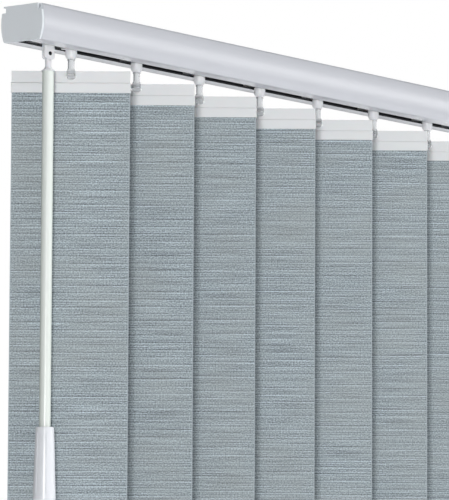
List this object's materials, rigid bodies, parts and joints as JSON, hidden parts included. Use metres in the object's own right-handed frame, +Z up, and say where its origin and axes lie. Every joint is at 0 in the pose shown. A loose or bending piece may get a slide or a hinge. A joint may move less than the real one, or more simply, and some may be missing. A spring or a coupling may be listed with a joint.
{
  "type": "vertical blind",
  "caption": "Wand-operated vertical blind: a bowed headrail with geared carriers, hanging woven fabric vanes in clamp headers, and a twist-and-draw control wand.",
  "frame": {"origin": "centre of the headrail's flat top face, where its brackets hold it", "axes": "+X along the rail away from the wand, +Y towards the wall, +Z up"},
  "size_m": [0.59, 0.073, 0.9],
  "materials": {
    "rail_coat": "white powder coat, satin",
    "cap_plastic": "pale grey moulded plastic",
    "rod_metal": "mill finish",
    "carrier_plastic": "white acetal",
    "roller_plastic": "white nylon",
    "hook_plastic": "translucent white plastic",
    "header_plastic": "white extruded plastic",
    "vane_fabric": "blue-grey slub weave",
    "weight_steel": "galvanised plate",
    "pin_steel": "turned steel",
    "tube_plastic": "clear-white tube",
    "grip_plastic": "white moulded plastic"
  },
  "bodies": {
    "rail": {"headrail": "rail_coat", "end_cap_left": "cap_plastic", "end_cap_right": "cap_plastic", "truck_7": "carrier_plastic", "wheels_7": "roller_plastic"},
    "rod": {"tilt_rod": "rod_metal"},
    "carrier_1": {"truck_1": "carrier_plastic", "wand_truck": "carrier_plastic"},
    "carrier_2": {"truck_2": "carrier_plastic"},
    "carrier_3": {"truck_3": "carrier_plastic"},
    "carrier_4": {"truck_4": "carrier_plastic"},
    "carrier_5": {"truck_5": "carrier_plastic"},
    "carrier_6": {"truck_6": "carrier_plastic"},
    "vane_set_1": {"stem_1": "hook_plastic", "header_1": "header_plastic", "vane_1": "vane_fabric", "weight_1": "weight_steel"},
    "worm_set_1": {"worm_1": "roller_plastic"},
    "rollers_1": {"wheels_1": "roller_plastic"},
    "vane_set_2": {"stem_2": "hook_plastic", "header_2": "header_plastic", "vane_2": "vane_fabric", "weight_2": "weight_steel"},
    "worm_set_2": {"worm_2": "roller_plastic"},
    "rollers_2": {"wheels_2": "roller_plastic"},
    "vane_set_3": {"stem_3": "hook_plastic", "header_3": "header_plastic", "vane_3": "vane_fabric", "weight_3": "weight_steel"},
    "worm_set_3": {"worm_3": "roller_plastic"},
    "rollers_3": {"wheels_3": "roller_plastic"},
    "vane_set_4": {"stem_4": "hook_plastic", "header_4": "header_plastic", "vane_4": "vane_fabric", "weight_4": "weight_steel"},
    "worm_set_4": {"worm_4": "roller_plastic"},
    "rollers_4": {"wheels_4": "roller_plastic"},
    "vane_set_5": {"stem_5": "hook_plastic", "header_5": "header_plastic", "vane_5": "vane_fabric", "weight_5": "weight_steel"},
    "worm_set_5": {"worm_5": "roller_plastic"},
    "rollers_5": {"wheels_5": "roller_plastic"},
    "vane_set_6": {"stem_6": "hook_plastic", "header_6": "header_plastic", "vane_6": "vane_fabric", "weight_6": "weight_steel"},
    "worm_set_6": {"worm_6": "roller_plastic"},
    "rollers_6": {"wheels_6": "roller_plastic"},
    "vane_set_7": {"stem_7": "hook_plastic", "header_7": "header_plastic", "vane_7": "vane_fabric", "weight_7": "weight_steel"},
    "worm_set_7": {"worm_7": "roller_plastic"},
    "drive": {"drive_gear": "roller_plastic"},
    "knuckle": {"wand_knuckle": "carrier_plastic", "wand_pin": "pin_steel"},
    "wand": {"wand_tip": "carrier_plastic", "wand_tube": "tube_plastic", "wand_grip": "grip_plastic"}
  },
  "joints": [
    {"name": "traverse", "type": "slide", "parent": "rail", "child": "carrier_1", "axis": [1, 0, 0], "range_m": [0, 0.396]},
    {"name": "traverse_2", "type": "slide", "parent": "rail", "child": "carrier_2", "axis": [1, 0, 0], "range_m": [0, 0.33001]},
    {"name": "traverse_3", "type": "slide", "parent": "rail", "child": "carrier_3", "axis": [1, 0, 0], "range_m": [0, 0.26401]},
    {"name": "traverse_4", "type": "slide", "parent": "rail", "child": "carrier_4", "axis": [1, 0, 0], "range_m": [0, 0.19801]},
    {"name": "traverse_5", "type": "slide", "parent": "rail", "child": "carrier_5", "axis": [1, 0, 0], "range_m": [0, 0.13201]},
    {"name": "traverse_6", "type": "slide", "parent": "rail", "child": "carrier_6", "axis": [1, 0, 0], "range_m": [0, 0.06601]},
    {"name": "tilt", "type": "hinge", "parent": "carrier_1", "child": "vane_set_1", "pos_m": [-0.237, 0, -0.0336], "axis": [0, 0, 1], "range_deg": [-105, 30]},
    {"name": "worm_turn_1", "type": "hinge", "parent": "carrier_1", "child": "worm_set_1", "pos_m": [-0.237, 0.0086, -0.0132], "axis": [1, 0, 0], "range_deg": [-1260, 360]},
    {"name": "roll_1", "type": "hinge", "parent": "carrier_1", "child": "rollers_1", "pos_m": [-0.237, 0, -0.0217], "axis": [0, 1, 0], "range_deg": [0, 5745.1]},
    {"name": "tilt_2", "type": "hinge", "parent": "carrier_2", "child": "vane_set_2", "pos_m": [-0.158, 0, -0.0336], "axis": [0, 0, 1], "range_deg": [-105, 30]},
    {"name": "worm_turn_2", "type": "hinge", "parent": "carrier_2", "child": "worm_set_2", "pos_m": [-0.158, 0.0086, -0.0132], "axis": [1, 0, 0], "range_deg": [-1260, 360]},
    {"name": "roll_2", "type": "hinge", "parent": "carrier_2", "child": "rollers_2", "pos_m": [-0.158, 0, -0.0217], "axis": [0, 1, 0], "range_deg": [0, 4787.7]},
    {"name": "tilt_3", "type": "hinge", "parent": "carrier_3", "child": "vane_set_3", "pos_m": [-0.079, 0, -0.0336], "axis": [0, 0, 1], "range_deg": [-105, 30]},
    {"name": "worm_turn_3", "type": "hinge", "parent": "carrier_3", "child": "worm_set_3", "pos_m": [-0.079, 0.0086, -0.0132], "axis": [1, 0, 0], "range_deg": [-1260, 360]},
    {"name": "roll_3", "type": "hinge", "parent": "carrier_3", "child": "rollers_3", "pos_m": [-0.079, 0, -0.0217], "axis": [0, 1, 0], "range_deg": [0, 3830.4]},
    {"name": "tilt_4", "type": "hinge", "parent": "carrier_4", "child": "vane_set_4", "pos_m": [0, 0, -0.0336], "axis": [0, 0, 1], "range_deg": [-105, 30]},
    {"name": "worm_turn_4", "type": "hinge", "parent": "carrier_4", "child": "worm_set_4", "pos_m": [0, 0.0086, -0.0132], "axis": [1, 0, 0], "range_deg": [-1260, 360]},
    {"name": "roll_4", "type": "hinge", "parent": "carrier_4", "child": "rollers_4", "pos_m": [0, 0, -0.0217], "axis": [0, 1, 0], "range_deg": [0, 2873]},
    {"name": "tilt_5", "type": "hinge", "parent": "carrier_5", "child": "vane_set_5", "pos_m": [0.079, 0, -0.0336], "axis": [0, 0, 1], "range_deg": [-105, 30]},
    {"name": "worm_turn_5", "type": "hinge", "parent": "carrier_5", "child": "worm_set_5", "pos_m": [0.079, 0.0086, -0.0132], "axis": [1, 0, 0], "range_deg": [-1260, 360]},
    {"name": "roll_5", "type": "hinge", "parent": "carrier_5", "child": "rollers_5", "pos_m": [0.079, 0, -0.0217], "axis": [0, 1, 0], "range_deg": [0, 1915.7]},
    {"name": "tilt_6", "type": "hinge", "parent": "carrier_6", "child": "vane_set_6", "pos_m": [0.158, 0, -0.0336], "axis": [0, 0, 1], "range_deg": [-105, 30]},
    {"name": "worm_turn_6", "type": "hinge", "parent": "carrier_6", "child": "worm_set_6", "pos_m": [0.158, 0.0086, -0.0132], "axis": [1, 0, 0], "range_deg": [-1260, 360]},
    {"name": "roll_6", "type": "hinge", "parent": "carrier_6", "child": "rollers_6", "pos_m": [0.158, 0, -0.0217], "axis": [0, 1, 0], "range_deg": [0, 958.3]},
    {"name": "tilt_7", "type": "hinge", "parent": "rail", "child": "vane_set_7", "pos_m": [0.237, 0, -0.0336], "axis": [0, 0, 1], "range_deg": [-105, 30]},
    {"name": "worm_turn_7", "type": "hinge", "parent": "rail", "child": "worm_set_7", "pos_m": [0.237, 0.0086, -0.0132], "axis": [1, 0, 0], "range_deg": [-1260, 360]},
    {"name": "rod_turn", "type": "hinge", "parent": "rail", "child": "rod", "pos_m": [0, 0.0086, -0.0132], "axis": [1, 0, 0], "range_deg": [-1260, 360]},
    {"name": "drive_turn", "type": "hinge", "parent": "carrier_1", "child": "drive", "pos_m": [-0.2638, 0.0086, -0.0132], "axis": [1, 0, 0], "range_deg": [-1260, 360]},
    {"name": "wand_twist", "type": "hinge", "parent": "carrier_1", "child": "knuckle", "pos_m": [-0.2638, 0, -0.0328], "axis": [0, 0, 1], "range_deg": [-2520, 720]},
    {"name": "wand_swing", "type": "hinge", "parent": "knuckle", "child": "wand", "pos_m": [-0.2638, 0, -0.0328], "axis": [0.2756, 0.9613, 0], "range_deg": [0, 60]}
  ],
  "couplings": [
    {"joint": "traverse_2", "follows": "traverse", "ratio": 0.83333},
    {"joint": "traverse_3", "follows": "traverse", "ratio": 0.66667},
    {"joint": "traverse_4", "follows": "traverse", "ratio": 0.5},
    {"joint": "traverse_5", "follows": "traverse", "ratio": 0.33333},
    {"joint": "traverse_6", "follows": "traverse", "ratio": 0.16667},
    {"joint": "worm_turn_1", "follows": "tilt", "ratio": 12},
    {"joint": "roll_1", "follows": "traverse", "rad_per_m": 253.16},
    {"joint": "tilt_2", "follows": "tilt", "ratio": 1},
    {"joint": "worm_turn_2", "follows": "tilt", "ratio": 12},
    {"joint": "roll_2", "follows": "traverse", "rad_per_m": 210.97},
    {"joint": "tilt_3", "follows": "tilt", "ratio": 1},
    {"joint": "worm_turn_3", "follows": "tilt", "ratio": 12},
    {"joint": "roll_3", "follows": "traverse", "rad_per_m": 168.78},
    {"joint": "tilt_4", "follows": "tilt", "ratio": 1},
    {"joint": "worm_turn_4", "follows": "tilt", "ratio": 12},
    {"joint": "roll_4", "follows": "traverse", "rad_per_m": 126.58},
    {"joint": "tilt_5", "follows": "tilt", "ratio": 1},
    {"joint": "worm_turn_5", "follows": "tilt", "ratio": 12},
    {"joint": "roll_5", "follows": "traverse", "rad_per_m": 84.388},
    {"joint": "tilt_6", "follows": "tilt", "ratio": 1},
    {"joint": "worm_turn_6", "follows": "tilt", "ratio": 12},
    {"joint": "roll_6", "follows": "traverse", "rad_per_m": 42.194},
    {"joint": "tilt_7", "follows": "tilt", "ratio": 1},
    {"joint": "worm_turn_7", "follows": "tilt", "ratio": 12},
    {"joint": "rod_turn", "follows": "tilt", "ratio": 12},
    {"joint": "drive_turn", "follows": "tilt", "ratio": 12},
    {"joint": "wand_twist", "follows": "tilt", "ratio": 24}
  ]
}
